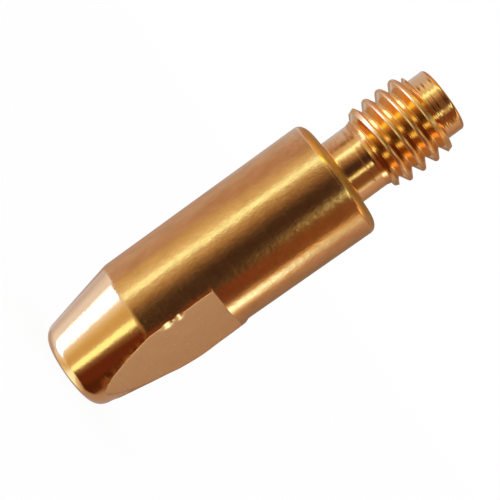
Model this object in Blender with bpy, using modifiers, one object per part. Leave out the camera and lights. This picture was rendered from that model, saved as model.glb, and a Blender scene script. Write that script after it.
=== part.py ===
"""Welding contact tip: one solid copper piece, turned from bar, pressed and threaded.

The tip stands on its nose, with the threaded shank up. The origin is where the barrel's
axis meets the plane of the nose face, Z runs up that axis, and the two wrench flats face
-Y and +Y. Every size is in metres.
"""

import math

import bmesh
import bpy
from mathutils import Matrix, Vector

# Heights up the body, from the nose face
CONE_LENGTH = 0.0056
FLAT_LENGTH = 0.01033
SHOULDER_HEIGHT = 0.02068

# Lengths along the shank, from the shoulder
NECK_LENGTH = 0.00217
THREAD_LENGTH = 0.00438
PILOT_LENGTH = 0.00129

# Diameters
NOSE_DIAMETER = 0.00564
CONE_BASE_DIAMETER = 0.00778
BODY_DIAMETER = 0.0080
NECK_DIAMETER = 0.00442
THREAD_DIAMETER = 0.00575
THREAD_ROOT_DIAMETER = 0.00450
PILOT_DIAMETER = 0.00434
BORE_DIAMETER = 0.0012
LEAD_IN_DIAMETER = 0.0022

# Rounded and bevelled edges
NOSE_CORNER = 0.0010
CONE_BLEND = 0.0021
SHOULDER_ROUNDING_WIDTH = 0.00094
SHOULDER_ROUNDING_HEIGHT = 0.00064
NECK_FILLET = 0.00012
PILOT_CORNER = 0.00022
BORE_EDGE = 0.00012
LEAD_IN_ANGLE = math.radians(30)

# Thread, right-handed
THREAD_PITCH = 0.0010
CREST_RADIUS = 0.00020
FLANK_ANGLE = math.radians(31)
THREAD_START = math.radians(131.5)

# The collar that the thread is cut in starts and ends with two slopes: how far each
# corner stands from the collar's end, and how far below the crest
RUN_IN = 0.00085
RUN_IN_STEP = 0.00012
RUN_IN_DROP = 0.00031
RUN_OUT = 0.00060
RUN_OUT_STEP = 0.00010
RUN_OUT_DROP = 0.00016
COLLAR_END_DROP = 0.00056

# Wrench flats, pressed in, and the swell that the press left on the +X side
ACROSS_FLATS = 0.0064
SWELL_START = 0.0017
SWELL_AT_CONE = 0.00018
SWELL_PEAK = 0.00042
SWELL_PEAK_HEIGHT = 0.0073
SWELL_AT_END = 0.00022
SWELL_PAST_FLAT = 0.0003

# The press also bent the tip a little in one plane: the nose one way, the shank the other
BEND_PLANE = math.radians(-54)
NOSE_BEND = math.radians(2.1)
SHANK_BEND = math.radians(0.9)
SHANK_OFFSET = 0.00003

# How finely curves are cut
SIDES = 48
ARC_POINTS = 6
BLEND_POINTS = 4
CREST_POINTS = 5
BORE_SIDES = 24
WELD = 1e-6
SHARP_ANGLE = math.radians(30)

# How far helper solids reach into or past the piece
OVERRUN = 0.001

COPPER_COLOUR = (0.74, 0.38, 0.19, 1.0)
COPPER_ROUGHNESS = 0.28


def rounding(centre, width, height, first, last, points=ARC_POINTS):
    """Points round an ellipse in the profile plane, as (radius from the axis, height)."""
    step = (last - first) / (points - 1)
    return [
        (
            centre[0] + width * math.cos(first + step * i),
            centre[1] + height * math.sin(first + step * i),
        )
        for i in range(points)
    ]


def arc(centre, radius, first, last, points=ARC_POINTS):
    return rounding(centre, radius, radius, first, last, points)


def bend_direction():
    return Vector((math.cos(BEND_PLANE), math.sin(BEND_PLANE), 0))


def nose_centre():
    return bend_direction() * CONE_LENGTH * math.tan(NOSE_BEND)


def shank_length():
    return NECK_LENGTH + THREAD_LENGTH + PILOT_LENGTH


def shank_matrix():
    """The shank's own frame: its origin on the shoulder, moved and turned by the bend."""
    across = Vector((0, 0, 1)).cross(bend_direction())
    turn = Matrix.Rotation(-SHANK_BEND, 4, across)
    foot = Vector((0, 0, SHOULDER_HEIGHT)) - bend_direction() * SHANK_OFFSET
    return Matrix.Translation(foot) @ turn


def tail_centre():
    return shank_matrix() @ Vector((0, 0, shank_length()))


def helper(name, mesh, collection):
    """An object that only shapes the piece, and isn't one itself."""
    obj = bpy.data.objects.new(name, mesh)
    collection.objects.link(obj)
    obj.hide_render = True
    obj.display_type = "WIRE"
    return obj


def turned_mesh(name, profile, sides, lift=0.0):
    """A profile that runs down the +X side, turned about Z by a Screw modifier."""
    outline = bpy.data.meshes.new(name + "_outline")
    points = [(radius, 0, height) for radius, height in profile]
    edges = [(i, i + 1) for i in range(len(points) - 1)]
    outline.from_pydata(points, edges, [])
    lathe = bpy.data.objects.new(name + "_lathe", outline)
    bpy.context.scene.collection.objects.link(lathe)
    screw = lathe.modifiers.new("Turn", "SCREW")
    screw.axis = "Z"
    screw.angle = math.tau
    screw.screw_offset = lift
    screw.steps = sides
    screw.render_steps = sides
    screw.use_merge_vertices = lift == 0
    screw.merge_threshold = WELD
    graph = bpy.context.evaluated_depsgraph_get()
    mesh = bpy.data.meshes.new_from_object(lathe.evaluated_get(graph))
    mesh.name = name
    bpy.data.objects.remove(lathe)
    return mesh


def swell_stations():
    """How far the +X side is pushed out, as (height, distance) up the tip."""
    end = FLAT_LENGTH + SWELL_PAST_FLAT
    rise = (CONE_LENGTH + SWELL_PEAK_HEIGHT) / 2
    return [
        (NOSE_CORNER, 0.0),
        (SWELL_START, SWELL_AT_CONE),
        (CONE_LENGTH, SWELL_AT_CONE),
        (rise, (SWELL_AT_CONE + 2 * SWELL_PEAK) / 3),
        (SWELL_PEAK_HEIGHT, SWELL_PEAK),
        (end, SWELL_AT_END),
        (end + SWELL_PAST_FLAT, 0.0),
    ]


def swell_at(height):
    stations = swell_stations()
    for (low, before), (high, after) in zip(stations, stations[1:]):
        if low < height <= high:
            return before + (after - before) * (height - low) / (high - low)
    return 0.0


def body_radius(height):
    """The barrel narrows a little from its shoulder to the base of its cone."""
    share = (height - CONE_LENGTH) / (SHOULDER_HEIGHT - CONE_LENGTH)
    base = CONE_BASE_DIAMETER / 2
    return base + (BODY_DIAMETER / 2 - base) * share


def cone_radius(height):
    share = height / CONE_LENGTH
    return NOSE_DIAMETER / 2 + (CONE_BASE_DIAMETER - NOSE_DIAMETER) / 2 * share


def body_profile():
    """Shoulder, barrel, cone and nose, from the top down."""
    cone_angle = math.atan((CONE_BASE_DIAMETER - NOSE_DIAMETER) / 2 / CONE_LENGTH)
    barrel_angle = math.atan(
        (BODY_DIAMETER - CONE_BASE_DIAMETER) / 2 / (SHOULDER_HEIGHT - CONE_LENGTH)
    )
    shoulder_centre = (
        BODY_DIAMETER / 2 - SHOULDER_ROUNDING_WIDTH,
        SHOULDER_HEIGHT - SHOULDER_ROUNDING_HEIGHT,
    )
    # The blend's arc touches the cone and the barrel, this far each way along them
    reach = CONE_BLEND * math.tan((cone_angle - barrel_angle) / 2)
    blend_centre = (
        CONE_BASE_DIAMETER / 2 - reach * math.sin(cone_angle) - CONE_BLEND * math.cos(cone_angle),
        CONE_LENGTH - reach * math.cos(cone_angle) + CONE_BLEND * math.sin(cone_angle),
    )
    nose_centre_radius = cone_radius(NOSE_CORNER) - NOSE_CORNER / math.cos(cone_angle)
    heights = [height for height, _ in swell_stations()]
    barrel = [h for h in heights if h > CONE_LENGTH + reach]
    cone = [h for h in heights if NOSE_CORNER < h < CONE_LENGTH - reach]
    profile = [(0, SHOULDER_HEIGHT)]
    profile += rounding(
        shoulder_centre, SHOULDER_ROUNDING_WIDTH, SHOULDER_ROUNDING_HEIGHT, math.pi / 2, 0
    )
    profile += [(body_radius(h), h) for h in reversed(barrel)]
    profile += arc(blend_centre, CONE_BLEND, -barrel_angle, -cone_angle, BLEND_POINTS)
    profile += [(cone_radius(h), h) for h in reversed(cone)]
    profile += arc(
        (nose_centre_radius, NOSE_CORNER), NOSE_CORNER, -cone_angle, -math.pi / 2
    )
    profile += [(0, 0)]
    return profile


def shape_like_the_press(mesh):
    """Pushes the +X side out beside the flats, and bends the nose."""
    bend = bend_direction() * math.tan(NOSE_BEND)
    for vertex in mesh.vertices:
        height = vertex.co.z
        if vertex.co.x > WELD:
            vertex.co.x += swell_at(height)
        if height < CONE_LENGTH:
            vertex.co += bend * (CONE_LENGTH - height)


def shank_profile():
    """Pilot and neck, in the shank's own frame, from the top down into the body."""
    top = shank_length()
    pilot = PILOT_DIAMETER / 2
    neck = NECK_DIAMETER / 2
    middle = NECK_LENGTH + THREAD_LENGTH / 2
    profile = [(0, top)]
    profile += arc((pilot - PILOT_CORNER, top - PILOT_CORNER), PILOT_CORNER, math.pi / 2, 0)
    profile += [(pilot, middle), (neck, middle)]
    profile += arc(
        (neck + NECK_FILLET, NECK_FILLET), NECK_FILLET, math.pi, 1.5 * math.pi, BLEND_POINTS
    )
    profile += [(neck + NECK_FILLET, -OVERRUN), (0, -OVERRUN)]
    return profile


def collar_profile():
    """The turned collar that the thread is cut in, in the shank's own frame."""
    crest = THREAD_DIAMETER / 2
    top = NECK_LENGTH + THREAD_LENGTH
    core = min(NECK_DIAMETER, PILOT_DIAMETER) / 2 - NECK_FILLET
    return [
        (0, top),
        (crest - COLLAR_END_DROP, top),
        (crest - RUN_OUT_DROP, top - RUN_OUT_STEP),
        (crest, top - RUN_OUT),
        (crest, NECK_LENGTH + RUN_IN),
        (crest - RUN_IN_DROP, NECK_LENGTH + RUN_IN_STEP),
        (core, NECK_LENGTH),
        (0, NECK_LENGTH),
    ]


def thread_form_mesh():
    """A solid screw, longer than the collar at both ends: its outline, raised as it turns."""
    root = THREAD_ROOT_DIAMETER / 2
    crest_centre = THREAD_DIAMETER / 2 - CREST_RADIUS
    half_arc = math.pi / 2 - FLANK_ANGLE
    crest = arc((crest_centre, 0), CREST_RADIUS, half_arc, -half_arc, CREST_POINTS)
    # One turn more than the shank is long, as the whole form is then let down by a part of one
    turns = math.ceil(shank_length() / THREAD_PITCH) + 1
    profile = []
    for turn in reversed(range(turns)):
        middle = (turn + 0.5) * THREAD_PITCH
        profile.append((root, middle + THREAD_PITCH / 2))
        profile += [(radius, middle + height) for radius, height in crest]
    profile.append((root, 0))
    mesh = turned_mesh("thread_form", profile, SIDES, THREAD_PITCH)
    solid = bmesh.new()
    solid.from_mesh(mesh)
    bmesh.ops.remove_doubles(solid, verts=solid.verts, dist=WELD)
    # Each open end is a turn of the helix and one pitch of the outline: a fan closes it
    for end in (THREAD_PITCH / 2, (turns + 0.5) * THREAD_PITCH):
        rim = [
            edge
            for edge in solid.edges
            if edge.is_boundary and abs(edge.verts[0].co.z - end) <= THREAD_PITCH
        ]
        hub = solid.verts.new((0, 0, end))
        for edge in rim:
            solid.faces.new((hub, *edge.verts))
    bmesh.ops.recalc_face_normals(solid, faces=solid.faces)
    bmesh.ops.rotate(
        solid, verts=solid.verts, matrix=Matrix.Rotation(THREAD_START, 3, "Z")
    )
    bmesh.ops.translate(
        solid, verts=solid.verts, vec=(0, 0, -SHOULDER_HEIGHT % THREAD_PITCH - THREAD_PITCH)
    )
    solid.to_mesh(mesh)
    solid.free()
    return mesh


def bore_profile(length):
    """The wire's bore, with a broken edge at the nose and a lead-in at the tail."""
    bore = BORE_DIAMETER / 2
    slope = math.tan(LEAD_IN_ANGLE)
    mouth = LEAD_IN_DIAMETER / 2
    lead_in = (mouth - bore) / slope
    return [
        (0, length + OVERRUN),
        (mouth + OVERRUN * slope, length + OVERRUN),
        (bore, length - lead_in),
        (bore, BORE_EDGE),
        (bore + BORE_EDGE + OVERRUN, -OVERRUN),
        (0, -OVERRUN),
    ]


def flat_cutter_mesh(side):
    """A block that takes away all that stands past one flat, up to its end wall."""
    width = BODY_DIAMETER + 4 * OVERRUN
    depth = BODY_DIAMETER / 2
    height = FLAT_LENGTH + OVERRUN
    block = bmesh.new()
    bmesh.ops.create_cube(block, size=1)
    bmesh.ops.scale(block, verts=block.verts, vec=(width, depth, height))
    centre = (0, side * (ACROSS_FLATS + depth) / 2, FLAT_LENGTH - height / 2)
    bmesh.ops.translate(block, verts=block.verts, vec=centre)
    mesh = bpy.data.meshes.new("flat_cutter")
    block.to_mesh(mesh)
    block.free()
    return mesh


def copper():
    material = bpy.data.materials.new("Copper")
    material.use_nodes = True
    shader = material.node_tree.nodes["Principled BSDF"]
    shader.inputs["Base Color"].default_value = COPPER_COLOUR
    shader.inputs["Roughness"].default_value = COPPER_ROUGHNESS
    shader.inputs["Metallic"].default_value = 1.0
    return material


def boolean(obj, name, operation, other):
    modifier = obj.modifiers.new(name, "BOOLEAN")
    modifier.operation = operation
    modifier.solver = "EXACT"
    modifier.object = other


def build():
    for obj in list(bpy.data.objects):
        bpy.data.objects.remove(obj)
    parts = bpy.data.collections.new("Contact tip")
    helpers = bpy.data.collections.new("Cutters")
    for collection in (parts, helpers):
        bpy.context.scene.collection.children.link(collection)

    body = turned_mesh("contact_tip", body_profile(), SIDES)
    shape_like_the_press(body)
    tip = bpy.data.objects.new("contact_tip", body)
    parts.objects.link(tip)

    shank = helper("shank", turned_mesh("shank", shank_profile(), SIDES), helpers)
    collar = helper(
        "thread_collar", turned_mesh("thread_collar", collar_profile(), SIDES), helpers
    )
    form = helper("thread_form", thread_form_mesh(), helpers)
    for piece in (shank, collar, form):
        piece.matrix_world = shank_matrix()
    boolean(collar, "Thread", "INTERSECT", form)

    axis = tail_centre() - nose_centre()
    bore = helper("bore", turned_mesh("bore", bore_profile(axis.length), BORE_SIDES), helpers)
    bore.location = nose_centre()
    bore.rotation_euler = axis.to_track_quat("Z", "Y").to_euler()

    boolean(tip, "Shank", "UNION", shank)
    boolean(tip, "Threaded collar", "UNION", collar)
    for name, side in (("front_flat", -1), ("back_flat", 1)):
        boolean(tip, name, "DIFFERENCE", helper(name, flat_cutter_mesh(side), helpers))
    boolean(tip, "Bore", "DIFFERENCE", bore)

    tip.data.materials.append(copper())
    tip.data.shade_smooth()
    tip.data.set_sharp_from_angle(angle=SHARP_ANGLE)


build()
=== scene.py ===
# %% [markdown]
# A welding contact tip, dressed for a photograph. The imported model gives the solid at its
# real size. This script makes the same tip again with finer curves, gives its copper the
# marks of turning, drawing and pressing, and sets up the light and the camera.

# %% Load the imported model
import math

import bpy
from mathutils import Matrix, Vector, noise


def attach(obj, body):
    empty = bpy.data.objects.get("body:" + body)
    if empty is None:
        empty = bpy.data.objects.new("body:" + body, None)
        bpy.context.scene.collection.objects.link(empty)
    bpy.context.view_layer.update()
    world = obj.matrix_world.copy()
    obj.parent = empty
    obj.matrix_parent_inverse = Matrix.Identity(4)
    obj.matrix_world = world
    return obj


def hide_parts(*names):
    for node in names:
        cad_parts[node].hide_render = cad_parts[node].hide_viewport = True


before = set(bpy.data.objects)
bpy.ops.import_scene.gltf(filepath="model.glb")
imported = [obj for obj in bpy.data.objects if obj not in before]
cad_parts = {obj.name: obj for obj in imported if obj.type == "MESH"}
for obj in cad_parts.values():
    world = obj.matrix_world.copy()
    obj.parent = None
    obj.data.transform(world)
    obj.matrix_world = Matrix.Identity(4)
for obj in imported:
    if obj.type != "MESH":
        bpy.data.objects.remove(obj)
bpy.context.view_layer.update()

MM = 0.001
MICROMETRE = 1e-6

# %% [markdown]
# The camera stands about level with the middle of the tip, nine centimetres off, and is
# rolled, so that the upright tip crosses the picture from corner to corner. A long lens keeps the
# barrel's sides nearly parallel. The camera could be placed by dragging it about, but its
# directions are easier to write down: across the picture, up the picture and back from it.

# %% Camera
CAMERA_SIDE = math.radians(54)
CAMERA_TILT = math.radians(1.66)
CAMERA_ROLL = math.radians(35.4)
CAMERA_DISTANCE = 89.5 * MM
CAMERA_LENS = 104.4
AIM_HEIGHT = 13.426 * MM
AIM_ASIDE = 0.588 * MM
PIXEL_CENTRING = 0.031 * MM


def place_camera():
    near = Vector((-math.sin(CAMERA_SIDE), -math.cos(CAMERA_SIDE), 0))
    aside = Vector((-math.cos(CAMERA_SIDE), math.sin(CAMERA_SIDE), 0))
    up = Vector((0, 0, 1))
    along = up * math.cos(CAMERA_TILT) - near * math.sin(CAMERA_TILT)
    back = up * math.sin(CAMERA_TILT) + near * math.cos(CAMERA_TILT)
    right = along * math.cos(CAMERA_ROLL) - aside * math.sin(CAMERA_ROLL)
    top = along * math.sin(CAMERA_ROLL) + aside * math.cos(CAMERA_ROLL)
    place = up * AIM_HEIGHT - aside * AIM_ASIDE + back * CAMERA_DISTANCE
    place += (top - right) * PIXEL_CENTRING
    bpy.ops.object.select_all(action="DESELECT")
    bpy.ops.object.camera_add(location=(0, 0, 0))
    camera = bpy.context.object
    camera.name = "camera"
    turn = Matrix((right, top, back)).transposed().to_4x4()
    camera.matrix_world = Matrix.Translation(place) @ turn
    camera.data.lens = CAMERA_LENS
    camera.data.clip_start = MM
    bpy.context.scene.camera = camera
    return camera


camera = place_camera()
bpy.context.scene.view_settings.view_transform = "Standard"
print("Camera at", [round(v / MM, 1) for v in camera.location], "millimetres")

# %% [markdown]
# The tip is turned from bar, and a lathe is also the plainest way to model it. One point is
# extruded along half of the tip's outline, and a Screw modifier turns that line about Z. A
# cylinder with loops cut into it would do too, but its roundings would take far more steps.

# %% Outline and lathe
SIDES = 192
WELD = 1e-6


def pick(piece):
    """Makes a piece the active one, and the only one that is selected."""
    bpy.ops.object.select_all(action="DESELECT")
    bpy.context.view_layer.objects.active = piece
    piece.select_set(True)


def draw_outline(name, points):
    """A line in the XZ plane, made by extruding one point from place to place."""
    bpy.ops.object.select_all(action="DESELECT")
    radius, height = points[0]
    bpy.ops.mesh.primitive_plane_add(size=MM, location=(radius, 0, height))
    line = bpy.context.object
    line.name = name
    line.data.name = name
    bpy.ops.object.mode_set(mode="EDIT")
    bpy.ops.mesh.select_all(action="SELECT")
    bpy.ops.mesh.merge(type="CENTER")
    for (r0, z0), (r1, z1) in zip(points, points[1:]):
        step = {"value": (r1 - r0, 0, z1 - z0)}
        bpy.ops.mesh.extrude_region_move(TRANSFORM_OT_translate=step)
    bpy.ops.object.mode_set(mode="OBJECT")
    bpy.ops.object.transform_apply(location=True, rotation=True, scale=True)
    return line


def turn_outline(line, sides=SIDES, rise=0.0):
    """Turns the line about Z. With a rise, each turn ends that much higher, as a thread does."""
    screw = line.modifiers.new("Turn", "SCREW")
    screw.axis = "Z"
    screw.angle = math.tau
    screw.screw_offset = rise
    screw.steps = sides
    screw.render_steps = sides
    screw.use_merge_vertices = rise == 0
    screw.merge_threshold = WELD
    pick(line)
    bpy.ops.object.modifier_apply(modifier="Turn")
    bpy.ops.object.mode_set(mode="EDIT")
    bpy.ops.mesh.select_all(action="SELECT")
    bpy.ops.mesh.remove_doubles(threshold=WELD)
    bpy.ops.mesh.normals_make_consistent(inside=False)
    bpy.ops.object.mode_set(mode="OBJECT")
    print(line.name, "has", len(line.data.polygons), "faces")
    return line


def curve(centre, width, height, first, last, points):
    """Points round a quarter or so of an ellipse, as (radius, height)."""
    step = (last - first) / (points - 1)
    return [
        (
            centre[0] + width * math.cos(first + step * i),
            centre[1] + height * math.sin(first + step * i),
        )
        for i in range(points)
    ]


# %% [markdown]
# The body is a barrel that narrows a little towards its nose, a cone, and a rounded nose.
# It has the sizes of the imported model, with more points on every rounding, and a ring every
# eighth of a millimetre where the press has been, so that its marks have points to move. One
# ring stands just under the shoulder's rounding. Without it, smooth shading would tilt the
# long barrel faces towards the rounding, and the barrel would mirror the wrong lamps.

# %% Body outline
CONE_LENGTH = 5.6 * MM
FLAT_LENGTH = 10.33 * MM
SHOULDER_HEIGHT = 20.68 * MM
NOSE_RADIUS = 2.82 * MM
CONE_BASE_RADIUS = 3.89 * MM
BODY_RADIUS = 4.0 * MM
NOSE_CORNER = 1.0 * MM
CONE_BLEND = 2.1 * MM
SHOULDER_WIDTH = 0.94 * MM
SHOULDER_DROP = 0.64 * MM
RING_SPACING = 0.125 * MM
PRESSED_HEIGHT = 11.2 * MM
SUPPORT = 0.04 * MM
WALL_RINGS = [-0.06, -0.035, -0.02, -0.01, 0.0, 0.01, 0.02, 0.035, 0.06]
BODY_SIDES = 256
ROUNDING_POINTS = 14
BLEND_POINTS = 7


def body_outline():
    cone_angle = math.atan((CONE_BASE_RADIUS - NOSE_RADIUS) / CONE_LENGTH)
    barrel_length = SHOULDER_HEIGHT - SHOULDER_DROP - CONE_LENGTH
    barrel_angle = math.atan((BODY_RADIUS - CONE_BASE_RADIUS) / barrel_length)
    reach = CONE_BLEND * math.tan((cone_angle - barrel_angle) / 2)

    def cone_radius(height):
        return NOSE_RADIUS + height * math.tan(cone_angle)

    def barrel_radius(height):
        return CONE_BASE_RADIUS + (height - CONE_LENGTH) * math.tan(barrel_angle)

    def rings(low, high):
        count = max(1, round((high - low) / RING_SPACING))
        return [low + (high - low) * i / count for i in range(1, count)]

    blend_low = CONE_LENGTH - reach * math.cos(cone_angle)
    blend_high = CONE_LENGTH + reach * math.cos(barrel_angle)
    blend_centre = (
        cone_radius(blend_low) - CONE_BLEND * math.cos(cone_angle),
        blend_low + CONE_BLEND * math.sin(cone_angle),
    )
    nose_centre = (cone_radius(NOSE_CORNER) - NOSE_CORNER / math.cos(cone_angle), NOSE_CORNER)
    shoulder_centre = (BODY_RADIUS - SHOULDER_WIDTH, SHOULDER_HEIGHT - SHOULDER_DROP)
    cone_start = nose_centre[1] - NOSE_CORNER * math.sin(cone_angle)
    wall = [FLAT_LENGTH + step * MM for step in WALL_RINGS]
    points = [(0, 0)]
    points += curve(
        nose_centre, NOSE_CORNER, NOSE_CORNER, -math.pi / 2, -cone_angle, ROUNDING_POINTS
    )
    points += [(cone_radius(h), h) for h in rings(cone_start, blend_low)]
    points += curve(
        blend_centre, CONE_BLEND, CONE_BLEND, -cone_angle, -barrel_angle, BLEND_POINTS
    )
    points += [(barrel_radius(h), h) for h in rings(blend_high, wall[0])]
    points += [(barrel_radius(h), h) for h in wall]
    points += [(barrel_radius(h), h) for h in rings(wall[-1], PRESSED_HEIGHT)]
    last = shoulder_centre[1] - SUPPORT
    points += [(barrel_radius(PRESSED_HEIGHT), PRESSED_HEIGHT), (barrel_radius(last), last)]
    points += curve(
        shoulder_centre, SHOULDER_WIDTH, SHOULDER_DROP, 0, math.pi / 2, ROUNDING_POINTS
    )
    points += [(0, SHOULDER_HEIGHT)]
    return points


tip = turn_outline(draw_outline("tip", body_outline()), BODY_SIDES)

# %% [markdown]
# A press made the two wrench flats. A Boolean cut would leave a razor edge with slivers along
# it, which no bevel can round, so each ring is pressed in code instead. First its points
# slide round the ring until many of them lie where the flat will meet the barrel. The nose
# is bent a little, in the plane of the picture, and that shifts where the flats end.

# %% Gather points where the flats will end
HALF_ACROSS_FLATS = 3.2 * MM
NARROWEST_FLAT = math.radians(9)
BEND = Vector((math.cos(CAMERA_SIDE), -math.sin(CAMERA_SIDE), 0))
NOSE_BEND = math.radians(2.1)


def nose_shift(height):
    """How far the bent nose has moved, at a height."""
    return BEND * math.tan(NOSE_BEND) * max(0.0, CONE_LENGTH - height)


def gather(place):
    """Slides a point round its ring, so that the points crowd together at the flat's edges."""
    radius = math.hypot(place.x, place.y)
    if radius < WELD:
        return
    side = 1 if place.y >= 0 else -1
    level = HALF_ACROSS_FLATS - side * nose_shift(place.z).y
    half = max(NARROWEST_FLAT, math.acos(min(1.0, level / radius)))
    edge = math.pi / 2 - half
    share = math.atan2(abs(place.y), abs(place.x)) / (math.pi / 2)
    if share < 0.5:
        angle = edge * (1 - (1 - 2 * share) ** 2)
    else:
        angle = edge + half * (2 * share - 1) ** 2
    place.x = math.copysign(radius * math.cos(angle), place.x)
    place.y = side * radius * math.sin(angle)


for point in tip.data.vertices:
    gather(point.co)
print("Gathered", len(tip.data.vertices), "points at the edges of the flats")

# %% [markdown]
# Then the press closes, and the copper that it squeezes out has to go somewhere: the +X side
# swells between the flats. The swell is given as heights and rises. A cubic curve joins them,
# and the two stretches that meet at a height share one slope there, so that no step shows.

# %% Swell
SWELL_REACH = 2.4 * MM
SWELL = [
    (1.0 * MM, 0.0),
    (1.7 * MM, 0.15 * MM),
    (2.9 * MM, 0.17 * MM),
    (5.2 * MM, 0.19 * MM),
    (6.56 * MM, 0.36 * MM),
    (7.3 * MM, 0.42 * MM),
    (8.5 * MM, 0.35 * MM),
    (9.8 * MM, 0.29 * MM),
    (10.6 * MM, 0.22 * MM),
    (10.95 * MM, 0.0),
]


def ease(share):
    """Runs from nought to one as the share does, but starts and ends level."""
    share = min(1.0, max(0.0, share))
    return share * share * (3 - 2 * share)


def shared_slope(before, after):
    """The slope where two stretches meet: level on a hilltop, or else near the gentler one."""
    return 2 * before * after / (before + after) if before * after > 0 else 0.0


stretches = list(zip(SWELL, SWELL[1:]))
steepness = [(high[1] - low[1]) / (high[0] - low[0]) for low, high in stretches]
meetings = [shared_slope(*pair) for pair in zip(steepness, steepness[1:])]
slopes = list(zip([0.0] + meetings, meetings + [0.0]))


def swell_at(height):
    for ((low, before), (high, after)), (leaving, arriving) in zip(stretches, slopes):
        if low < height <= high:
            share = (height - low) / (high - low)
            lean = leaving * (1 - share) - arriving * share
            lift = (height - low) * (1 - share) * lean
            return before + (after - before) * ease(share) + lift
    return 0.0


print("The swell rises", max(rise for height, rise in SWELL) / MM, "millimetres")

# %% [markdown]
# A pressed edge isn't straight when it is seen from close by. The barrel rolls down unevenly
# towards each flat, so noise varies the depth along the edge. One edge has also taken two
# knocks, which catch the light. Bump in the finish would leave the edge itself as it is, so
# both are real shapes.

# %% Rolled edge and knocks
ROLL_WIDTH = 0.30 * MM
ROLL_DROP = 0.045 * MM
ROLL_LUMPS = 0.5 * MM
ROLL_START = 1.2 * MM
ROLL_EVEN = 0.9
ROLL_UNEVEN = 0.8
KNOCKS = [(6.93 * MM, 0.42 * MM), (7.79 * MM, 0.28 * MM)]
KNOCK_WIDTH = 0.46 * MM
KNOCK_SLOPE = math.tan(math.radians(8.3))


def rolled(depth, place):
    """How far the barrel rolls down beside the flat: deepest at the flat, and uneven along it."""
    lumps = ROLL_EVEN + ROLL_UNEVEN * noise.noise(place / ROLL_LUMPS)
    start = ease((place.z - ROLL_START) / MM)
    near = max(0.0, 1 + depth / ROLL_WIDTH)
    return ROLL_DROP * lumps * start * near * near


def knocked(place):
    """How far two knocks have beaten down one edge of the flat on the -Y side."""
    if place.x > 0 or place.y > 0:
        return 0.0
    edge = math.sqrt(CONE_BASE_RADIUS**2 - HALF_ACROSS_FLATS**2)
    fall = 0.0
    for height, half in KNOCKS:
        share = 1 - ((place.z - height) / half) ** 2
        if share > 0:
            reach = KNOCK_WIDTH * math.sqrt(share) - (edge + place.x)
            fall = max(fall, reach * KNOCK_SLOPE)
    return fall


print("Knocks at", [round(height / MM, 2) for height, half in KNOCKS], "millimetres")

# %% [markdown]
# Now each point is moved to where the press leaves it. The nose is pushed over, and whatever
# stands past a flat is pushed back to it, with a small rounding where the two meet. Each flat
# ends in a wall. The shoulder was faced square to the shank, which leans by less than a degree.

# %% Press the flats
SHANK_BEND = math.radians(0.9)
WALL_THICKNESS = 0.05 * MM
FLAT_EDGE = 0.015 * MM


def pressed(depth):
    """How far out a point ends up that stood depth past the flat, or short of it if negative."""
    return -(math.sqrt(depth * depth + FLAT_EDGE * FLAT_EDGE) - depth) / 2


def press(place):
    place.x += swell_at(place.z) * ease(place.x / SWELL_REACH)
    place += nose_shift(place.z)
    side = 1 if place.y >= 0 else -1
    depth = abs(place.y) - HALF_ACROSS_FLATS
    under = 1 - ease((place.z - FLAT_LENGTH) / WALL_THICKNESS + 0.5)
    if depth < 0:
        outwards = Vector((place.x, place.y, 0)).normalized()
        place -= outwards * rolled(depth, place) * under
    else:
        place.y = side * (HALF_ACROSS_FLATS + depth * (1 - under) + pressed(depth) * under)
    if under == 1:
        place.y = side * min(abs(place.y), HALF_ACROSS_FLATS - knocked(place))
    top_start = SHOULDER_HEIGHT - 2 * SHOULDER_DROP
    square = ease((place.z - top_start) / SHOULDER_DROP)
    place.z += square * place.dot(BEND) * math.tan(SHANK_BEND)


for point in tip.data.vertices:
    press(point.co)
tip.data.update()
print("The body stands on", round(min(point.co.z for point in tip.data.vertices) / MM, 3))

# %% [markdown]
# The shank is turned on the same lathe: a neck that the threading tool runs out into, the
# threaded part, and a plain pilot that finds the hole first. The tool left shallow rings on
# the pilot. On the neck it left a few marks, given as heights and rises, with one groove and
# a rise towards the thread. They are real shapes, because they bend the reflections.

# %% Shank outline
NECK_LENGTH = 2.17 * MM
THREAD_LENGTH = 4.38 * MM
PILOT_LENGTH = 1.29 * MM
NECK_RADIUS = 2.21 * MM
PILOT_RADIUS = 2.17 * MM
NECK_FILLET = 0.12 * MM
PILOT_CORNER = 0.22 * MM
RING_PITCHES = (0.27 * MM, 0.43 * MM)
RING_DEPTH = 0.004 * MM
RING_STEP = 0.03 * MM
NECK_MARKS = [(0.16, 0), (0.5, 1), (0.9, 0), (1.28, 1), (1.34, 0), (1.46, -7), (1.58, 0)]
NECK_MARKS += [(1.70, 0), (1.84, 1), (1.92, 2), (2.00, 20), (2.10, 50), (2.20, 66)]
INSIDE = 1.0 * MM
SHANK_LENGTH = NECK_LENGTH + THREAD_LENGTH + PILOT_LENGTH
FILLET_POINTS = 6
CORNER_POINTS = 8


def ringed(radius, low, high):
    """A plain cylinder's outline with the shallow, uneven rings that a turning tool leaves."""
    count = math.ceil((high - low) / RING_STEP)
    points = []
    for i in range(1, count):
        height = low + (high - low) * i / count
        dips = [math.sin(math.pi * (height - high) / pitch) ** 2 for pitch in RING_PITCHES]
        points.append((radius - RING_DEPTH * sum(dips), height))
    return points


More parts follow.
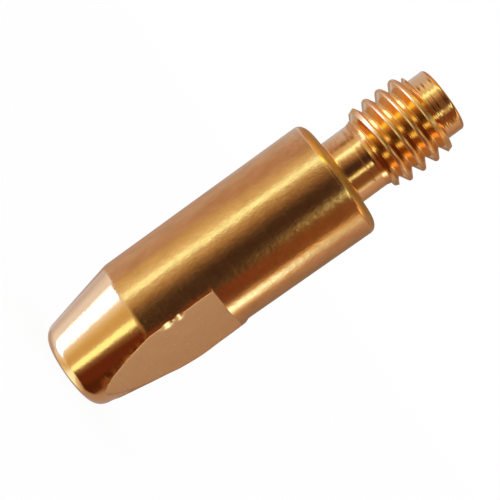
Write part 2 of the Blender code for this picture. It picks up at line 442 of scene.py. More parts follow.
def shank_outline():
    middle = NECK_LENGTH + THREAD_LENGTH / 2
    thread_top = NECK_LENGTH + THREAD_LENGTH
    foot = NECK_RADIUS + NECK_FILLET
    corner = (PILOT_RADIUS - PILOT_CORNER, SHANK_LENGTH - PILOT_CORNER)
    points = [(0, -INSIDE), (foot, -INSIDE)]
    points += curve(
        (foot, NECK_FILLET), NECK_FILLET, NECK_FILLET, 1.5 * math.pi, math.pi, FILLET_POINTS
    )
    points += [(NECK_RADIUS + rise * MICROMETRE, height * MM) for height, rise in NECK_MARKS]
    points += [(NECK_RADIUS, NECK_LENGTH + NECK_FILLET)]
    points += [(NECK_RADIUS, middle), (PILOT_RADIUS, middle), (PILOT_RADIUS, thread_top)]
    points += ringed(PILOT_RADIUS, thread_top, corner[1])
    points += curve(corner, PILOT_CORNER, PILOT_CORNER, 0, math.pi / 2, CORNER_POINTS)
    points += [(0, SHANK_LENGTH)]
    return points


shank = turn_outline(draw_outline("shank", shank_outline()))

# %% [markdown]
# The thread is a collar, turned with a slope at each end, cut by a helix. What both solids
# share is the thread, with its crests fading where the collar slopes.

# %% Collar
THREAD_RADIUS = 2.875 * MM
RUN_IN_LENGTH = 0.85 * MM
RUN_IN_STEP = 0.12 * MM
RUN_IN_DROP = 0.31 * MM
RUN_OUT_LENGTH = 0.60 * MM
RUN_OUT_STEP = 0.10 * MM
RUN_OUT_DROP = 0.16 * MM
COLLAR_END_DROP = 0.56 * MM


def collar_outline():
    top = NECK_LENGTH + THREAD_LENGTH
    core = PILOT_RADIUS - NECK_FILLET
    return [
        (0, NECK_LENGTH),
        (core, NECK_LENGTH),
        (THREAD_RADIUS - RUN_IN_DROP, NECK_LENGTH + RUN_IN_STEP),
        (THREAD_RADIUS, NECK_LENGTH + RUN_IN_LENGTH),
        (THREAD_RADIUS, top - RUN_OUT_LENGTH),
        (THREAD_RADIUS - RUN_OUT_DROP, top - RUN_OUT_STEP),
        (THREAD_RADIUS - COLLAR_END_DROP, top),
        (0, top),
    ]


collar = turn_outline(draw_outline("collar", collar_outline()))

# %% [markdown]
# The helix is the outline of one pitch, repeated, and turned with a rise of one pitch: a
# Screw modifier again. That leaves both ends open, so each rim is drawn in to the axis, and
# the Booleans get a closed solid.

# %% Helix
THREAD_ROOT_RADIUS = 2.25 * MM
THREAD_PITCH = 1.0 * MM
CREST_RADIUS = 0.20 * MM
ROOT_RADIUS = 0.05 * MM
FLANK_ANGLE = math.radians(31)
HELIX_TURNS = math.ceil(SHANK_LENGTH / THREAD_PITCH) + 1
CREST_POINTS = 9
ROOT_POINTS = 3
RIM_REACH = 1.01 * THREAD_PITCH


def helix_outline(turns):
    half_arc = math.pi / 2 - FLANK_ANGLE
    root_centre = THREAD_ROOT_RADIUS + ROOT_RADIUS
    crest_centre = THREAD_RADIUS - CREST_RADIUS
    points = [(THREAD_ROOT_RADIUS, 0)]
    for turn in range(turns):
        low = (root_centre, turn * THREAD_PITCH)
        crest = (crest_centre, (turn + 0.5) * THREAD_PITCH)
        high = (root_centre, (turn + 1) * THREAD_PITCH)
        rising = math.pi - half_arc
        falling = math.pi + half_arc
        points += curve(low, ROOT_RADIUS, ROOT_RADIUS, math.pi, rising, ROOT_POINTS)[1:]
        points += curve(crest, CREST_RADIUS, CREST_RADIUS, -half_arc, half_arc, CREST_POINTS)
        points += curve(high, ROOT_RADIUS, ROOT_RADIUS, falling, math.pi, ROOT_POINTS)
    return points


def close_end(helix, height):
    """Extrudes the open rim at one end and merges it on the axis, which closes the solid."""
    bpy.ops.object.mode_set(mode="EDIT")
    bpy.ops.mesh.select_mode(type="VERT")
    bpy.ops.mesh.select_all(action="DESELECT")
    bpy.ops.mesh.select_non_manifold()
    bpy.ops.object.mode_set(mode="OBJECT")
    points = helix.data.vertices
    for point in points:
        point.select = point.select and abs(point.co.z - height) <= RIM_REACH
    for edge in helix.data.edges:
        edge.select = edge.select and all(points[i].select for i in edge.vertices)
    bpy.context.scene.cursor.location = (0, 0, height)
    bpy.ops.object.mode_set(mode="EDIT")
    bpy.ops.mesh.select_mode(type="EDGE")
    bpy.ops.mesh.extrude_region_move()
    bpy.ops.mesh.select_mode(type="VERT")
    bpy.ops.mesh.merge(type="CURSOR")
    bpy.ops.mesh.select_all(action="SELECT")
    bpy.ops.mesh.normals_make_consistent(inside=False)
    bpy.ops.object.mode_set(mode="OBJECT")
    bpy.context.scene.cursor.location = (0, 0, 0)


helix = turn_outline(draw_outline("helix", helix_outline(HELIX_TURNS)), rise=THREAD_PITCH)
close_end(helix, THREAD_PITCH / 2)
close_end(helix, (HELIX_TURNS + 0.5) * THREAD_PITCH)

# %% [markdown]
# The helix is turned to where its thread starts and let down, and all three pieces are stood
# on the shoulder with the shank's lean. Applying the place puts it into each mesh.

# %% Stand the shank on the shoulder
SHANK_OFFSET = 0.03 * MM
THREAD_START = math.radians(131.5)


def put(piece, matrix):
    """Moves and turns a piece, and puts its new place into its mesh."""
    pick(piece)
    piece.matrix_world = matrix @ piece.matrix_world
    bpy.ops.object.transform_apply(location=True, rotation=True, scale=True)


across = Vector((0, 0, 1)).cross(BEND)
foot = Vector((0, 0, SHOULDER_HEIGHT)) - BEND * SHANK_OFFSET
shank_place = Matrix.Translation(foot) @ Matrix.Rotation(-SHANK_BEND, 4, across)
helix_drop = -SHOULDER_HEIGHT % THREAD_PITCH - THREAD_PITCH
put(helix, Matrix.Translation((0, 0, helix_drop)) @ Matrix.Rotation(THREAD_START, 4, "Z"))
for piece in (shank, collar, helix):
    put(piece, shank_place)
print("The shank leans by", round(math.degrees(SHANK_BEND), 1), "degrees")

# %% [markdown]
# The wire's bore runs from the middle of the nose to the middle of the pilot's end, where it
# opens in a lead-in cone. The photograph doesn't show it, so it has a usual size.

# %% Bore outline
BORE_RADIUS = 0.6 * MM
LEAD_IN_RADIUS = 1.1 * MM
LEAD_IN_ANGLE = math.radians(30)
BORE_EDGE = 0.12 * MM
BORE_SIDES = 96
OVERRUN = 1.0 * MM


def bore_outline(length):
    slope = math.tan(LEAD_IN_ANGLE)
    lead_in = (LEAD_IN_RADIUS - BORE_RADIUS) / slope
    return [
        (0, -OVERRUN),
        (BORE_RADIUS + BORE_EDGE + OVERRUN, -OVERRUN),
        (BORE_RADIUS, BORE_EDGE),
        (BORE_RADIUS, length - lead_in),
        (LEAD_IN_RADIUS + OVERRUN * slope, length + OVERRUN),
        (0, length + OVERRUN),
    ]


nose_middle = nose_shift(0)
bore_axis = shank_place @ Vector((0, 0, SHANK_LENGTH)) - nose_middle
bore = turn_outline(draw_outline("bore", bore_outline(bore_axis.length)), BORE_SIDES)
bore_turn = bore_axis.to_track_quat("Z", "Y").to_matrix().to_4x4()
put(bore, Matrix.Translation(nose_middle) @ bore_turn)

# %% [markdown]
# Booleans join and cut the solids: the collar keeps what it shares with the helix, the body
# takes the shank and the thread, and the bore goes through all. Each is applied at once.

# %% Join and cut


def combine(piece, operation, other):
    """Applies one Boolean and throws the other solid away."""
    pick(piece)
    modifier = piece.modifiers.new("Combine", "BOOLEAN")
    modifier.operation = operation
    modifier.solver = "EXACT"
    modifier.object = other
    bpy.ops.object.modifier_apply(modifier="Combine")
    bpy.data.objects.remove(other)
    print(piece.name, operation.lower(), "leaves", len(piece.data.polygons), "faces")


combine(collar, "INTERSECT", helix)
combine(tip, "UNION", shank)
combine(tip, "UNION", collar)
combine(tip, "DIFFERENCE", bore)

# %% [markdown]
# Smooth shading hides the facets, and edges sharper than thirty degrees stay crisp.

# %% Smooth the tip
SHARP_ANGLE = math.radians(30)
pick(tip)
bpy.ops.object.shade_smooth_by_angle(angle=SHARP_ANGLE)
tip.data.materials.clear()
print("The tip has", len(tip.data.vertices), "points")

# %% [markdown]
# ## Copper
# Every surface is the same copper alloy, and what differs is the tool that made it. So three
# effects are built once, as node groups, and each finish mixes them in its own strength. The
# first is the fine rings that a turning tool leaves: noise that changes only with height.

# %% Node group: turning rings
RING_DETAIL = 3.0


def new_group(name, inputs, outputs):
    """An empty node group with float sockets, and its input and output nodes."""
    group = bpy.data.node_groups.new(name, "ShaderNodeTree")
    for label, value in inputs.items():
        socket = group.interface.new_socket(label, in_out="INPUT", socket_type="NodeSocketFloat")
        socket.default_value = value
    for label in outputs:
        group.interface.new_socket(label, in_out="OUTPUT", socket_type="NodeSocketFloat")
    return group, group.nodes.new("NodeGroupInput"), group.nodes.new("NodeGroupOutput")


def math_node(tree, operation, first, second=None):
    """A Math node, fed by sockets or by plain numbers."""
    node = tree.nodes.new("ShaderNodeMath")
    node.operation = operation
    for socket, value in zip(node.inputs, (first, second)):
        if isinstance(value, bpy.types.NodeSocket):
            tree.links.new(value, socket)
        elif value is not None:
            socket.default_value = value
    return node.outputs[0]


def noise_node(tree, scale, detail, dimensions="3D"):
    node = tree.nodes.new("ShaderNodeTexNoise")
    node.noise_dimensions = dimensions
    node.inputs["Detail"].default_value = detail
    if isinstance(scale, bpy.types.NodeSocket):
        tree.links.new(scale, node.inputs["Scale"])
    else:
        node.inputs["Scale"].default_value = scale
    return node


def object_place(tree):
    return tree.nodes.new("ShaderNodeTexCoord").outputs["Object"]


def turning_rings():
    tree, start, end = new_group("turning_rings", {"Rings per metre": 5000.0}, ["Rings"])
    parts = tree.nodes.new("ShaderNodeSeparateXYZ")
    tree.links.new(object_place(tree), parts.inputs[0])
    rings = noise_node(tree, start.outputs["Rings per metre"], RING_DETAIL, "1D")
    tree.links.new(parts.outputs["Z"], rings.inputs["W"])
    tree.links.new(rings.outputs["Fac"], end.inputs["Rings"])
    return tree


RINGS = turning_rings()
print("Made the group", RINGS.name)

# %% [markdown]
# The second effect is mottle: drawn copper isn't even, and handling dulls it in soft patches.
# Two noises, one coarse and one fine, give a patch mask and a grain. Drawing pulls the grain
# out along the bar, so the height is shrunk before the fine noise reads it.

# %% Node group: mottle
SPOT_DETAIL = 4.0


def mottle():
    sizes = {"Patches per metre": 600.0, "Grains per metre": 2200.0, "Squash along Z": 1.0}
    tree, start, end = new_group("mottle", sizes, ["Patches", "Grain"])
    squash = tree.nodes.new("ShaderNodeCombineXYZ")
    squash.inputs["X"].default_value = 1.0
    squash.inputs["Y"].default_value = 1.0
    tree.links.new(start.outputs["Squash along Z"], squash.inputs["Z"])
    place = tree.nodes.new("ShaderNodeVectorMath")
    place.operation = "MULTIPLY"
    tree.links.new(object_place(tree), place.inputs[0])
    tree.links.new(squash.outputs[0], place.inputs[1])
    for label, size in (("Patches", "Patches per metre"), ("Grain", "Grains per metre")):
        spots = noise_node(tree, start.outputs[size], SPOT_DETAIL)
        tree.links.new(place.outputs[0], spots.inputs["Vector"])
        tree.links.new(spots.outputs["Fac"], end.inputs[label])
    return tree


MOTTLE = mottle()
print("Made the group", MOTTLE.name)

# %% [markdown]
# The third is nicks: small round dents from other tips in the same box. A Voronoi texture
# scatters points, only some of its cells are kept, and each kept point has a small pit.

# %% Node group: nicks


def nicks():
    sizes = {"Cells per metre": 700.0, "Share": 0.2, "Size": 0.12}
    tree, start, end = new_group("nicks", sizes, ["Nicks"])
    cells = tree.nodes.new("ShaderNodeTexVoronoi")
    tree.links.new(object_place(tree), cells.inputs["Vector"])
    tree.links.new(start.outputs["Cells per metre"], cells.inputs["Scale"])
    luck = tree.nodes.new("ShaderNodeSeparateColor")
    tree.links.new(cells.outputs["Color"], luck.inputs[0])
    kept = math_node(tree, "LESS_THAN", luck.outputs["Red"], start.outputs["Share"])
    near = math_node(tree, "DIVIDE", cells.outputs["Distance"], start.outputs["Size"])
    pit = math_node(tree, "MAXIMUM", math_node(tree, "SUBTRACT", 1.0, near), 0.0)
    tree.links.new(math_node(tree, "MULTIPLY", pit, kept), end.inputs["Nicks"])
    return tree


NICKS = nicks()
print("Made the group", NICKS.name)

# %% [markdown]
# A finish is a metal shader with these three effects. Their heights, in micrometres, add up
# to one bump. The patches change the colour a little, from fresh to dulled copper, and the
# rings and grain change the roughness. What is the same all over is set on the shader itself.

# %% A finish of copper
FRESH = (0.90, 0.455, 0.21)
DULLED = (0.80, 0.385, 0.165)


def finish(
    name,
    roughness,
    rings,
    grain,
    wave=0.0,
    squash=1.0,
    nick=0.0,
    patches=600.0,
    uneven=0.05,
    tones=(DULLED, FRESH),
):
    """A copper material. rings and grain are (height in micrometres, count per metre)."""
    material = bpy.data.materials.new(name)
    material.use_nodes = True
    tree = material.node_tree
    shader = tree.nodes["Principled BSDF"]
    shader.inputs["Metallic"].default_value = 1.0
    groups = {}
    for group in (RINGS, MOTTLE, NICKS):
        node = tree.nodes.new("ShaderNodeGroup")
        node.node_tree = group
        groups[group.name] = node
    turned = groups["turning_rings"]
    spotted = groups["mottle"]
    turned.inputs["Rings per metre"].default_value = rings[1]
    spotted.inputs["Patches per metre"].default_value = patches
    spotted.inputs["Grains per metre"].default_value = grain[1]
    spotted.inputs["Squash along Z"].default_value = squash
    colour = tree.nodes.new("ShaderNodeMix")
    colour.data_type = "RGBA"
    colour.inputs["A"].default_value = (*tones[0], 1)
    colour.inputs["B"].default_value = (*tones[1], 1)
    tree.links.new(spotted.outputs["Patches"], colour.inputs["Factor"])
    tree.links.new(colour.outputs["Result"], shader.inputs["Base Color"])
    both = math_node(tree, "ADD", turned.outputs["Rings"], spotted.outputs["Grain"])
    swing = math_node(tree, "MULTIPLY", math_node(tree, "SUBTRACT", both, 1.0), 2 * uneven)
    tree.links.new(math_node(tree, "ADD", swing, roughness), shader.inputs["Roughness"])
    ridges = math_node(tree, "MULTIPLY", turned.outputs["Rings"], rings[0])
    bumps = math_node(tree, "MULTIPLY", spotted.outputs["Grain"], grain[0])
    waves = math_node(tree, "MULTIPLY", spotted.outputs["Patches"], wave)
    pits = math_node(tree, "MULTIPLY", groups["nicks"].outputs["Nicks"], nick)
    rough = math_node(tree, "ADD", math_node(tree, "ADD", ridges, bumps), waves)
    height = math_node(tree, "SUBTRACT", rough, pits)
    bump = tree.nodes.new("ShaderNodeBump")
    bump.inputs["Distance"].default_value = MICROMETRE
    tree.links.new(height, bump.inputs["Height"])
    tree.links.new(bump.outputs["Normal"], shader.inputs["Normal"])
    return material


print("A finish mixes", [group.name for group in (RINGS, MOTTLE, NICKS)])

# %% [markdown]
# The barrel is bright-drawn bar and a little satin, with its grain drawn out lengthwise and
# lively in tone. The cone and the shank are turned, and shine. The flats took the face of the
# press, which is even, dull and a little paler. The thread is bright in the groove and rubbed
# on its crests. The shoulder's rounding is stained from handling. A ring on its upper part,
# picked by which way its faces point, is rougher and grainier, and its yellower tone is a
# painted reflection. The bore is rough and dark. Each pair of tones runs from dulled to fresh.

# %% The finishes
CUT = ((0.87, 0.47, 0.19), (0.92, 0.53, 0.23))
PRESSED = ((0.60, 0.298, 0.162), (0.65, 0.328, 0.182))
DARK = ((0.50, 0.23, 0.10), DULLED)
LIVELY = ((0.67, 0.315, 0.13), (0.97, 0.52, 0.255))
RUBBED = ((0.82, 0.385, 0.17), (0.92, 0.45, 0.21))
STAINED = ((0.70, 0.33, 0.135), (0.90, 0.45, 0.20))
# Tones of the ring on the shoulder's rounding: a yellower tone painted there as a reflection.
PAINTED_REFLECTION_TONES = ((0.62, 0.34, 0.11), (0.74, 0.42, 0.15))
BARREL_MARKS = {"wave": 7.0, "squash": 0.6, "nick": 12.0, "patches": 1500.0}
SHANK_MARKS = {"wave": 9.0, "nick": 2.0, "uneven": 0.03}
FINISHES = [
    finish("drawn_barrel", 0.17, (0.5, 6000), (7.5, 5200), tones=LIVELY, **BARREL_MARKS),
    finish("turned_cone", 0.12, (2.5, 7000), (4.0, 4200), wave=12.0, nick=3.0, uneven=0.03),
    finish("pressed_flat", 0.24, (0.0, 6000), (3.0, 6000), wave=8.0, tones=PRESSED),
    finish("turned_shank", 0.12, (0.7, 3500), (4.0, 3600), **SHANK_MARKS),
    finish("cut_thread", 0.16, (0.0, 5000), (7.0, 3000), uneven=0.03, tones=CUT),
    finish("rubbed_crest", 0.34, (0.0, 5000), (3.0, 6000), tones=RUBBED),
    finish("drilled_bore", 0.45, (4.0, 8000), (6.0, 6000), tones=DARK),
    finish("turned_shoulder", 0.38, (1.0, 6000), (8.0, 4000), wave=12.0, tones=STAINED),
    # The ring's yellower tone is a painted reflection; its roughness and grain are the surface's
    # own.
    finish("painted_reflection_ring", 0.48, (0.0, 6000), (16.0, 3600), wave=12.0, tones=PAINTED_REFLECTION_TONES),
]
for material in FINISHES:
    tip.data.materials.append(material)
print("The tip has", len(tip.data.materials), "finishes")

# %% [markdown]
# Each face is given its finish by where it lies and which way it faces: the bore inside, the
# neck and pilot, the thread and its crests, the flats, the shoulder, the cone and the barrel.

# %% Paint the faces
CONE_TOP = CONE_LENGTH - 0.12 * MM
CREST_DEPTH = 0.09 * MM
BORE_MARGIN = 0.05 * MM
SHANK_MARGIN = 0.1 * MM
SEAT_MARGIN = 0.001 * MM
FLAT_MARGIN = 0.012 * MM
FLAT_FACING = 0.97
SHOULDER_START = SHOULDER_HEIGHT - SHOULDER_DROP - SUPPORT
SHOULDER_FACING = 0.28
# Faces of the shoulder's rounding tilted up within this range get the painted reflection.
REFLECTION_RING_FACING = (0.62, 0.995)
BARREL, CONE, FLAT, SHANK, THREAD, CREST, BORE, SHOULDER, REFLECTION_RING = range(len(FINISHES))


def finish_of(face):
    place = face.center
    along = shank_place.inverted() @ place
    radius = math.hypot(along.x, along.y)
    outwards = Vector((face.normal.x, face.normal.y)).dot(Vector((place.x, place.y)))
    if radius < LEAD_IN_RADIUS + BORE_MARGIN and outwards < 0:
        return BORE
    if along.z > SEAT_MARGIN and radius < THREAD_RADIUS + SHANK_MARGIN:
        if not NECK_LENGTH < along.z < NECK_LENGTH + THREAD_LENGTH:
            return SHANK
        return CREST if radius > THREAD_RADIUS - CREST_DEPTH else THREAD
    depth = abs(abs(place.y) - HALF_ACROSS_FLATS)
    if depth < FLAT_MARGIN and abs(face.normal.y) > FLAT_FACING:
        return FLAT
    if place.z > SHOULDER_START and face.normal.z > SHOULDER_FACING:
        # Faces tilted up within the range get the ring with the painted reflection.
        return REFLECTION_RING if REFLECTION_RING_FACING[0] < face.normal.z < REFLECTION_RING_FACING[1] else SHOULDER
    return CONE if place.z < CONE_TOP else BARREL


tip.data.update()
for face in tip.data.polygons:
    face.material_index = finish_of(face)
indices = [face.material_index for face in tip.data.polygons]
counts = [indices.count(i) for i in range(len(FINISHES))]
print("Faces of each finish:", counts)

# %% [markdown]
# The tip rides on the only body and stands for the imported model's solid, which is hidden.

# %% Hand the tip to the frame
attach(tip, "root")
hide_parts("contact_tip")
print("Handed over", tip.name)

# %% [markdown]
# ## Light
# Polished metal has hardly any colour of its own: it shows the room. A photographer stands a
# tent round it, with bright cloth, dark cards and narrow lamps, and their reflections become
# the bands along the barrel. This tent is one turned drum, seen only in reflections. The nose
# mirrors its floor, the cone leans down and mirrors the low part of its wall, the barrel
# mirrors the part level with it, and the shank the part above. A lamp on a stand would give
# one band only, so each height of the drum's wall has its own row of cloth instead.

# %% Tent
TENT_RADIUS = 300 * MM
TENT_FLOOR = -300 * MM
TENT_ROOF = 900 * MM
TENT_SIDES = 72


def build_tent():
    wall = [(TENT_RADIUS, TENT_FLOOR), (TENT_RADIUS, TENT_ROOF)]
    outline = [(0, TENT_FLOOR)] + wall + [(0, TENT_ROOF)]
    drum = turn_outline(draw_outline("tent", outline), TENT_SIDES)
    drum.visible_camera = False
    drum.visible_diffuse = False
    drum.visible_shadow = False
    drum.visible_transmission = False
    return drum


tent = build_tent()

# %% [markdown]
# The tones of cloth and card are named once, as red, green and blue light. Copper swallows
# half of the green and most of the blue, so a lamp that should look white on it is blue.
# These tones and their places were fitted to the photograph, not chosen freely. A scratch
# program read its colours across the tip, divided out the copper's own and printed the light
# wanted from each side. The first tones and places are those numbers, rounded. Later ones
# were adjusted to match the photograph.

# %% Tones
TONES = {
    "black card": (0.055, 0.037, 0.030),
    "brown card": (0.15, 0.105, 0.072),
    "red card": (0.19, 0.07, 0.037),
    "dark red card": (0.14, 0.041, 0.018),
    "ember card": (0.09, 0.030, 0.013),
    "umber card": (0.23, 0.14, 0.075),
    "rust card": (0.25, 0.125, 0.05),
    "moss card": (0.30, 0.22, 0.10),
    "bronze card": (0.35, 0.27, 0.15),
    "ochre cloth": (0.44, 0.33, 0.16),
    "brass cloth": (0.57, 0.50, 0.27),
    "honey cloth": (0.72, 0.69, 0.34),
    "straw cloth": (0.68, 0.60, 0.45),
    "gold cloth": (0.79, 0.86, 0.56),
    "cream cloth": (0.93, 1.12, 0.98),
    "amber cloth": (0.85, 0.60, 0.20),
    "apricot cloth": (0.97, 1.02, 0.65),
    "sand cloth": (0.56, 0.47, 0.40),
    "clay cloth": (0.52, 0.385, 0.285),
    "flax cloth": (0.48, 0.46, 0.44),
    "linen": (0.58, 0.57, 0.55),
    "tan cloth": (0.38, 0.31, 0.23),
    "brown cloth": (0.31, 0.23, 0.16),
    "white cloth": (0.67, 0.82, 1.03),
    "bright cloth": (0.95, 1.35, 1.95),
    "lamp": (1.4, 2.4, 2.4),
    "warm lamp": (1.4, 2.2, 1.7),
    "yellow lamp": (1.5, 2.2, 1.4),
    "sunny lamp": (1.6, 2.4, 0.6),
    "soft lamp": (1.25, 1.95, 2.0),
    "white lamp": (1.7, 2.9, 3.2),
    "peach lamp": (1.5, 1.25, 0.5),
    "daylight": (2.5, 5.5, 12.0),
    "softbox": (4.0, 4.5, 7.0),
}
print("Named", len(TONES), "tones")

# %% [markdown]
# The tent's floor, which the rounded nose mirrors, is laid in strips that run away from the
# camera. A strip is a place in millimetres, from the middle towards the upper side of the
# picture, with a tone. Rows of angles would all meet in one point there, and the nose would
# show it.

# %% Strips on the tent's floor
GROUND = [
    (-300, "tan cloth"), (-220, "tan cloth"), (-165, "linen"), (-125, "gold cloth"),
    (-85, "cream cloth"), (-62, "soft lamp"), (-8, "soft lamp"), (22, "cream cloth"),
    (60, "gold cloth"), (110, "cream cloth"), (165, "bright cloth"), (230, "white cloth"),
    (300, "white cloth"),
]
print("The floor has", len(GROUND), "strips")

# %% [markdown]
# Up the wall, a row is a list of angles in degrees, counted from the camera towards the upper
# side of the picture, with a tone at each. A colour ramp runs smoothly from one to the next.
# The cone mirrors the low row, with the broad softbox that makes its white band. The steep
# flanks of the thread mirror the foot of the wall, and their small spots are whiter, so
# daylight takes the softbox's place there. The skirt leads over to the barrel.

# %% Rows low on the wall
LOW_ROW = [
    (-180, "flax cloth"), (-100, "flax cloth"), (-91, "umber card"), (-86, "ember card"),
    (-60, "ember card"), (-50, "dark red card"), (-26, "dark red card"), (-18, "umber card"),
    (-12, "bronze card"), (-6, "yellow lamp"), (3, "yellow lamp"), (8, "gold cloth"),
    (14, "honey cloth"), (25, "honey cloth"), (34, "gold cloth"), (42, "cream cloth"),
    (50, "bright cloth"), (57, "softbox"), (87, "softbox"), (91, "bright cloth"),
    (106, "bright cloth"), (128, "white cloth"), (142, "linen"), (180, "flax cloth"),
]
FOOT_ROW = [(place, "daylight" if tone == "softbox" else tone) for place, tone in LOW_ROW]
SKIRT_ROW = [
    (-180, "flax cloth"), (-108, "flax cloth"), (-98, "tan cloth"), (-88, "rust card"),
    (-30, "rust card"), (-20, "moss card"), (-12, "ochre cloth"), (0, "honey cloth"),
    (25, "honey cloth"), (34, "gold cloth"), (42, "cream cloth"), (50, "bright cloth"),
    (57, "white cloth"), (87, "white cloth"), (91, "bright cloth"), (106, "bright cloth"),
    (128, "white cloth"), (155, "white cloth"), (180, "flax cloth"),
]
print("The low rows have", len(LOW_ROW) + len(FOOT_ROW) + len(SKIRT_ROW), "stops")

# %% [markdown]
# The barrel's lower half mirrors the level row and its upper half the rising one. Both have a
# narrow lamp that makes the yellow band, and black card near the camera for the dark band.

# %% Rows level with the barrel
LEVEL_ROW = [
    (-180, "brown cloth"), (-148, "brown cloth"), (-125, "tan cloth"), (-111, "clay cloth"),
    (-101, "apricot cloth"), (-94, "white lamp"), (-89, "white lamp"), (-82, "amber cloth"),
    (-75, "umber card"), (-64, "red card"), (-45, "red card"), (-36, "black card"),
    (-2, "black card"), (10, "brown card"), (19, "bronze card"), (29, "brass cloth"),
    (39, "gold cloth"), (44, "warm lamp"), (48, "warm lamp"), (55, "apricot cloth"),
    (63, "gold cloth"), (74, "honey cloth"), (89, "sand cloth"), (101, "sand cloth"),
    (120, "linen"), (145, "sand cloth"), (180, "tan cloth"),
]
RISING_ROW = [
    (-180, "brown cloth"), (-148, "brown cloth"), (-128, "tan cloth"), (-112, "clay cloth"),
    (-103, "sand cloth"), (-95, "gold cloth"), (-88, "gold cloth"), (-81, "amber cloth"),
    (-74, "rust card"), (-49, "rust card"), (-42, "umber card"), (-35, "moss card"),
    (-28, "brown card"), (-15, "black card"), (0, "black card"), (9, "brown card"),
    (16, "umber card"), (23, "moss card"), (30, "ochre cloth"), (37, "honey cloth"),
    (44, "warm lamp"), (47, "warm lamp"), (53, "gold cloth"), (60, "honey cloth"),
    (69, "straw cloth"), (77, "sand cloth"), (87, "clay cloth"), (108, "clay cloth"),
    (121, "linen"), (160, "linen"), (180, "tan cloth"),
]
print("The level rows have", len(LEVEL_ROW) + len(RISING_ROW), "stops")

# %% [markdown]
# The camera looks up at the shank a little, so the neck mirrors the high row, and the crests
# and the pilot the top one. The sky is mirrored twice, from flank to flank of the thread, and
# the roof closes the tent with dull cloth.

# %% Rows high on the wall
HIGH_ROW = [
    (-180, "tan cloth"), (-138, "tan cloth"), (-115, "sand cloth"), (-98, "linen"),
    (-87, "cream cloth"), (-76, "bronze card"), (-66, "umber card"), (-48, "umber card"),
    (-41, "umber card"), (-35, "yellow lamp"), (-31, "yellow lamp"), (-24, "umber card"),
    (-16, "black card"), (-3, "black card"), (7, "brown card"), (16, "bronze card"),
    (25, "brass cloth"), (33, "cream cloth"), (39, "warm lamp"), (46, "lamp"),
    (53, "cream cloth"), (66, "honey cloth"), (74, "umber card"), (80, "umber card"),
    (89, "linen"), (102, "white cloth"), (150, "white cloth"), (180, "tan cloth"),
]
TOP_ROW = [
    (-180, "tan cloth"), (-132, "tan cloth"), (-112, "sand cloth"), (-98, "straw cloth"),
    (-88, "moss card"), (-80, "rust card"), (-50, "red card"), (-41, "brass cloth"),
    (-35, "brass cloth"), (-28, "umber card"), (2, "umber card"), (11, "bronze card"),
    (21, "honey cloth"), (31, "gold cloth"), (39, "yellow lamp"), (43, "yellow lamp"),
    (49, "gold cloth"), (62, "cream cloth"), (76, "cream cloth"), (87, "white cloth"),
    (150, "white cloth"), (180, "tan cloth"),
]
SKY_ROW = [
    (-180, "tan cloth"), (-115, "tan cloth"), (-95, "clay cloth"), (-87, "peach lamp"),
    (-78, "peach lamp"), (-70, "rust card"), (-46, "red card"), (-39, "yellow lamp"),
    (-33, "yellow lamp"), (-27, "brown card"), (-8, "black card"), (8, "brown card"),
    (22, "bronze card"), (34, "honey cloth"), (40, "sunny lamp"), (47, "sunny lamp"),
    (54, "amber cloth"), (92, "amber cloth"), (108, "clay cloth"), (180, "clay cloth"),
]
ROOF_ROW = [
    (-180, "tan cloth"), (-110, "umber card"), (30, "umber card"), (75, "ochre cloth"),
    (110, "brass cloth"), (180, "tan cloth"),
]

high_rows = (HIGH_ROW, TOP_ROW, SKY_ROW, ROOF_ROW)
print("The high rows have", sum(len(row) for row in high_rows), "stops")

# %% [markdown]
# Each row becomes a colour ramp. A ramp's colours are kept below one, and the strength of the
# glow brings them back.

# %% A ramp for each row
TENT_STRENGTH = 12.0


def row_ramp(tree, share, row):
    """A colour ramp with a stop for each place in the row."""
    ramp = tree.nodes.new("ShaderNodeValToRGB")
    tree.links.new(share, ramp.inputs[0])
    stops = ramp.color_ramp.elements
    first = row[0][0]
    last = row[-1][0]
    for place, tone in row:
        if place == first:
            stop = stops[0]
        elif place == last:
            stop = stops[-1]
        else:
            stop = stops.new((place - first) / (last - first))
        stop.color = (*[channel / TENT_STRENGTH for channel in TONES[tone]], 1)
    return ramp.outputs["Color"]


print("The glow is", TENT_STRENGTH, "times the ramps' colours")

# %% [markdown]
# All rows go into one glowing material, and each fades into the next between two heights.
# The heights go on down below the wall as if the drum's floor hung from its rim, so that the
# lowest row can reach in over the floor.

# %% Cloth of the tent
ROWS = [
    (FOOT_ROW, -425 * MM, -345 * MM),
    (LOW_ROW, -200 * MM, -180 * MM),
    (SKIRT_ROW, -128 * MM, -108 * MM),
    (LEVEL_ROW, -75 * MM, -57 * MM),
    (RISING_ROW, 0, 16 * MM),
    (HIGH_ROW, 31 * MM, 38 * MM),
    (TOP_ROW, 50 * MM, 60 * MM),
    (SKY_ROW, 84 * MM, 112 * MM),
    (ROOF_ROW, 420 * MM, 600 * MM),
]


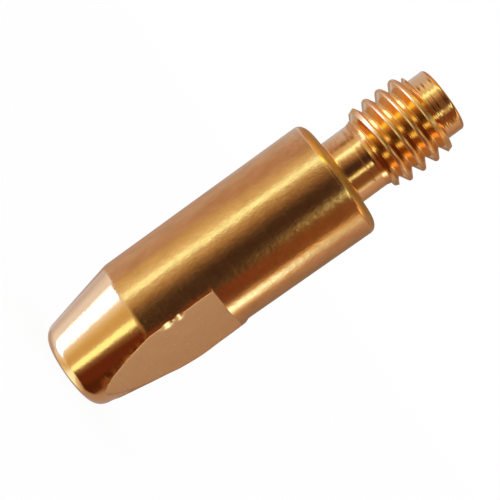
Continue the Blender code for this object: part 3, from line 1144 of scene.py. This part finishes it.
def tent_cloth():
    material = bpy.data.materials.new("tent_cloth")
    material.use_nodes = True
    tree = material.node_tree
    tree.nodes.remove(tree.nodes["Principled BSDF"])
    parts = tree.nodes.new("ShaderNodeSeparateXYZ")
    tree.links.new(object_place(tree), parts.inputs[0])
    around = math_node(tree, "ARCTAN2", parts.outputs["Y"], parts.outputs["X"])
    aside = math_node(tree, "SUBTRACT", 1.5 * math.pi - CAMERA_SIDE, around)
    turn = math_node(tree, "ADD", math_node(tree, "DIVIDE", aside, math.tau), 0.5)
    share = math_node(tree, "FRACT", turn)
    sideways = tree.nodes.new("ShaderNodeVectorMath")
    sideways.operation = "DOT_PRODUCT"
    sideways.inputs[1].default_value = (-math.cos(CAMERA_SIDE), math.sin(CAMERA_SIDE), 0)
    tree.links.new(object_place(tree), sideways.inputs[0])
    strip = math_node(tree, "DIVIDE", sideways.outputs["Value"], 2 * TENT_RADIUS)
    colour = row_ramp(tree, math_node(tree, "ADD", strip, 0.5), GROUND)
    squares = [math_node(tree, "MULTIPLY", parts.outputs[i], parts.outputs[i]) for i in "XY"]
    reach = math_node(tree, "SQRT", math_node(tree, "ADD", *squares))
    inwards = math_node(tree, "SUBTRACT", TENT_RADIUS, reach)
    unrolled = math_node(tree, "SUBTRACT", parts.outputs["Z"], inwards)
    for row, low, high in ROWS:
        fade = tree.nodes.new("ShaderNodeMapRange")
        fade.interpolation_type = "SMOOTHSTEP"
        fade.inputs["From Min"].default_value = low
        fade.inputs["From Max"].default_value = high
        tree.links.new(unrolled, fade.inputs["Value"])
        mix = tree.nodes.new("ShaderNodeMix")
        mix.data_type = "RGBA"
        tree.links.new(fade.outputs["Result"], mix.inputs["Factor"])
        tree.links.new(colour, mix.inputs["A"])
        tree.links.new(row_ramp(tree, share, row), mix.inputs["B"])
        colour = mix.outputs["Result"]
    glow = tree.nodes.new("ShaderNodeEmission")
    glow.inputs["Strength"].default_value = TENT_STRENGTH
    tree.links.new(colour, glow.inputs["Color"])
    tree.links.new(glow.outputs[0], tree.nodes["Material Output"].inputs[0])
    return material


tent.data.materials.append(tent_cloth())
print("The tent has", len(ROWS) + 1, "rows")

# %% [markdown]
# The background is pure white in the photograph. A floor lit by lamps would come out grey or
# take light off the copper, so the floor glows instead, but only for the rays that come
# straight from the camera, or off metal or through glass. For all other rays it is pale paint,
# and a little of that paint is left in view too, so that the tip still has its shadow.

# %% White for chosen rays
PAPER_WHITE = (0.9, 0.9, 0.9)
GLOW_SHARE = 0.94


def chosen_rays(tree):
    """One for a ray that shows the white background, nought for any other."""
    kinds = tree.nodes.new("ShaderNodeLightPath").outputs
    seen = math_node(tree, "MAXIMUM", kinds["Is Camera Ray"], kinds["Is Glossy Ray"])
    return math_node(tree, "MAXIMUM", seen, kinds["Is Transmission Ray"])


def floor_paint():
    material = bpy.data.materials.new("floor_paint")
    material.use_nodes = True
    tree = material.node_tree
    paint = tree.nodes["Principled BSDF"]
    paint.inputs["Base Color"].default_value = (*PAPER_WHITE, 1)
    paint.inputs["Roughness"].default_value = 1.0
    paint.inputs["Specular IOR Level"].default_value = 0.0
    glow = tree.nodes.new("ShaderNodeEmission")
    mix = tree.nodes.new("ShaderNodeMixShader")
    share = math_node(tree, "MULTIPLY", chosen_rays(tree), GLOW_SHARE)
    tree.links.new(share, mix.inputs[0])
    tree.links.new(paint.outputs[0], mix.inputs[1])
    tree.links.new(glow.outputs[0], mix.inputs[2])
    tree.links.new(mix.outputs[0], tree.nodes["Material Output"].inputs[0])
    return material


print("The floor glows by", GLOW_SHARE)

# %% [markdown]
# The floor is a plane far wider than the view. The tip's reflections come from the tent alone,
# so the floor is hidden from them, and the tent's own floor shows there instead.

# %% Floor
FLOOR_WIDTH = 20.0
bpy.ops.object.select_all(action="DESELECT")
bpy.ops.mesh.primitive_plane_add(size=FLOOR_WIDTH, location=(0, 0, 0))
floor = bpy.context.object
floor.name = "floor"
floor.visible_glossy = False
floor.data.materials.append(floor_paint())
print("The floor is", FLOOR_WIDTH, "metres wide")

# %% [markdown]
# The world is an even white at strength one. It is the soft light on everything that isn't
# metal, and the background above the floor.

# %% World
studio = bpy.data.worlds.new("studio")
studio.use_nodes = True
studio.node_tree.nodes["Background"].inputs["Color"].default_value = (1, 1, 1, 1)
studio.node_tree.nodes["Background"].inputs["Strength"].default_value = 1.0
bpy.context.scene.world = studio
print("The world is", studio.name)
